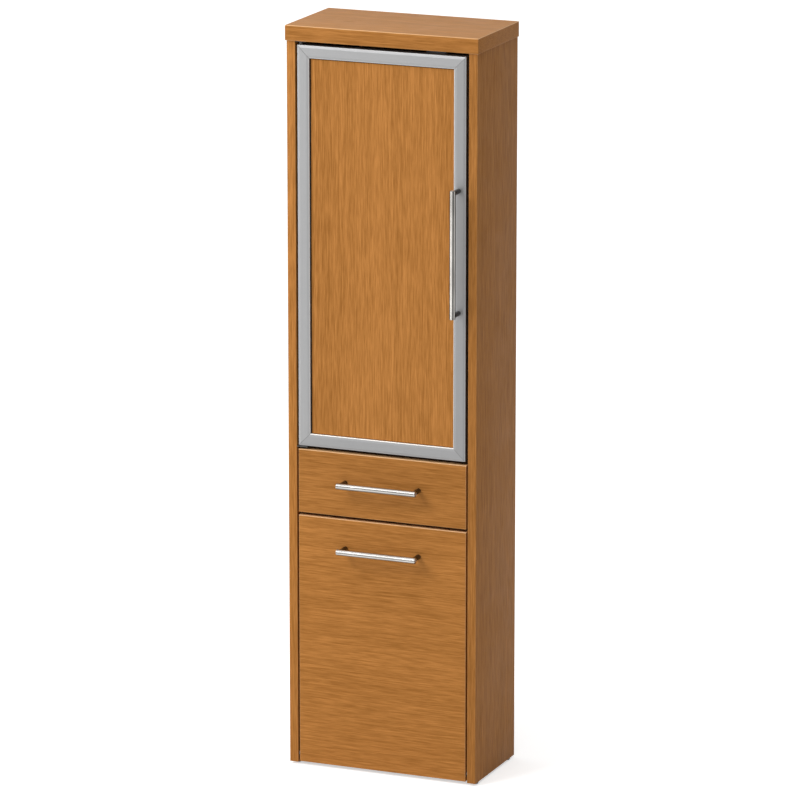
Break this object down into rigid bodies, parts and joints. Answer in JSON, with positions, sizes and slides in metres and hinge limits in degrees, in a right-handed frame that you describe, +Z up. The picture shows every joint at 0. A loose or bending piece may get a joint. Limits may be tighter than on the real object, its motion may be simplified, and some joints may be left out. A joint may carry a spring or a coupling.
{
  "type": "tall bathroom cabinet",
  "caption": "Tall slim bathroom cabinet with an aluminium-framed swing door, a drawer on roller runners and a tilt-out laundry flap with a bin.",
  "frame": {"origin": "on the floor, in the middle of the footprint that the body and its handles cover", "axes": "+Z up along the tall side, -Y out of the fronts, +X to the right seen from the front"},
  "size_m": [0.405, 0.246, 1.5],
  "materials": {
    "veneer": "oak-brown wood grain foil, satin",
    "inner_board": "same decor on the boards inside",
    "hardboard": "thin hardboard",
    "aluminium": "satin anodised",
    "steel_bar": "brushed stainless bar",
    "zinc": "zinc-plated steel and castings",
    "white_sheet": "white coated steel sheet",
    "white_plastic": "moulded white plastic",
    "grey_plastic": "grey plastic",
    "dark_seal": "dark soft seal"
  },
  "bodies": {
    "cabinet": {"back_panel": "hardboard", "bottom_panel": "inner_board", "cam_bolts": "zinc", "cam_housings": "zinc", "divider_lower": "inner_board", "divider_upper": "inner_board", "door_catches": "grey_plastic", "flap_pivot_pins": "zinc", "flap_stop_pins": "zinc", "floor_glides": "grey_plastic", "hanging_rail": "inner_board", "hinge_plates": "zinc", "hinge_screws": "zinc", "runner_left": "white_sheet", "runner_right": "white_sheet", "shelf_lower": "inner_board", "shelf_pins": "zinc", "shelf_upper": "inner_board", "side_panel_left": "veneer", "side_panel_right": "veneer", "top_cover": "veneer"},
    "door": {"door_bushes": "white_plastic", "door_corner_keys": "zinc", "door_handle_bar": "steel_bar", "door_handle_posts": "steel_bar", "door_handle_screws": "zinc", "door_panel": "veneer", "door_rail_bottom": "aluminium", "door_rail_top": "aluminium", "door_seal": "dark_seal", "door_stile_handle": "aluminium", "door_stile_hinge": "aluminium", "door_strikes": "zinc"},
    "drawer": {"drawer_back": "inner_board", "drawer_floor": "hardboard", "drawer_front": "veneer", "drawer_handle_bar": "steel_bar", "drawer_handle_posts": "steel_bar", "drawer_handle_screws": "zinc", "drawer_rail_left": "white_sheet", "drawer_rail_right": "white_sheet", "drawer_side_left": "inner_board", "drawer_side_right": "inner_board"},
    "flap": {"flap_bushes": "white_plastic", "flap_front": "veneer", "flap_handle_bar": "steel_bar", "flap_handle_posts": "steel_bar", "flap_handle_screws": "zinc", "flap_screws": "zinc", "flap_stop_arm_left": "zinc", "flap_stop_arm_right": "zinc", "hamper_bin": "white_plastic"},
    "roller_front_left": {"roller_front_left": "white_plastic"},
    "roller_front_right": {"roller_front_right": "white_plastic"},
    "roller_rear_left": {"roller_rear_left": "white_plastic"},
    "roller_rear_right": {"roller_rear_right": "white_plastic"}
  },
  "joints": [
    {"name": "door_hinge", "type": "hinge", "parent": "cabinet", "child": "door", "pos_m": [-0.1718, -0.0808, 1.06], "axis": [0, 0, -1], "range_deg": [0, 110]},
    {"name": "drawer_slide", "type": "slide", "parent": "cabinet", "child": "drawer", "axis": [0, -1, 0], "range_m": [0, 0.11]},
    {"name": "flap_tilt", "type": "hinge", "parent": "cabinet", "child": "flap", "pos_m": [0, -0.078, 0.022], "axis": [1, 0, 0], "range_deg": [0, 32]},
    {"name": "roller_front_left_spin", "type": "hinge", "parent": "cabinet", "child": "roller_front_left", "pos_m": [-0.1771, -0.055, 0.5447], "axis": [1, 0, 0], "range_deg": [0, 742]},
    {"name": "roller_front_right_spin", "type": "hinge", "parent": "cabinet", "child": "roller_front_right", "pos_m": [0.1771, -0.055, 0.5447], "axis": [1, 0, 0], "range_deg": [0, 742]},
    {"name": "roller_rear_left_spin", "type": "hinge", "parent": "drawer", "child": "roller_rear_left", "pos_m": [-0.1739, 0.076, 0.544], "axis": [1, 0, 0], "range_deg": [0, 742]},
    {"name": "roller_rear_right_spin", "type": "hinge", "parent": "drawer", "child": "roller_rear_right", "pos_m": [0.1739, 0.076, 0.544], "axis": [1, 0, 0], "range_deg": [0, 742]}
  ],
  "couplings": [
    {"joint": "roller_front_left_spin", "follows": "drawer_slide", "rad_per_m": 117.65},
    {"joint": "roller_front_right_spin", "follows": "drawer_slide", "rad_per_m": 117.65},
    {"joint": "roller_rear_left_spin", "follows": "drawer_slide", "rad_per_m": 117.65},
    {"joint": "roller_rear_right_spin", "follows": "drawer_slide", "rad_per_m": 117.65}
  ]
}
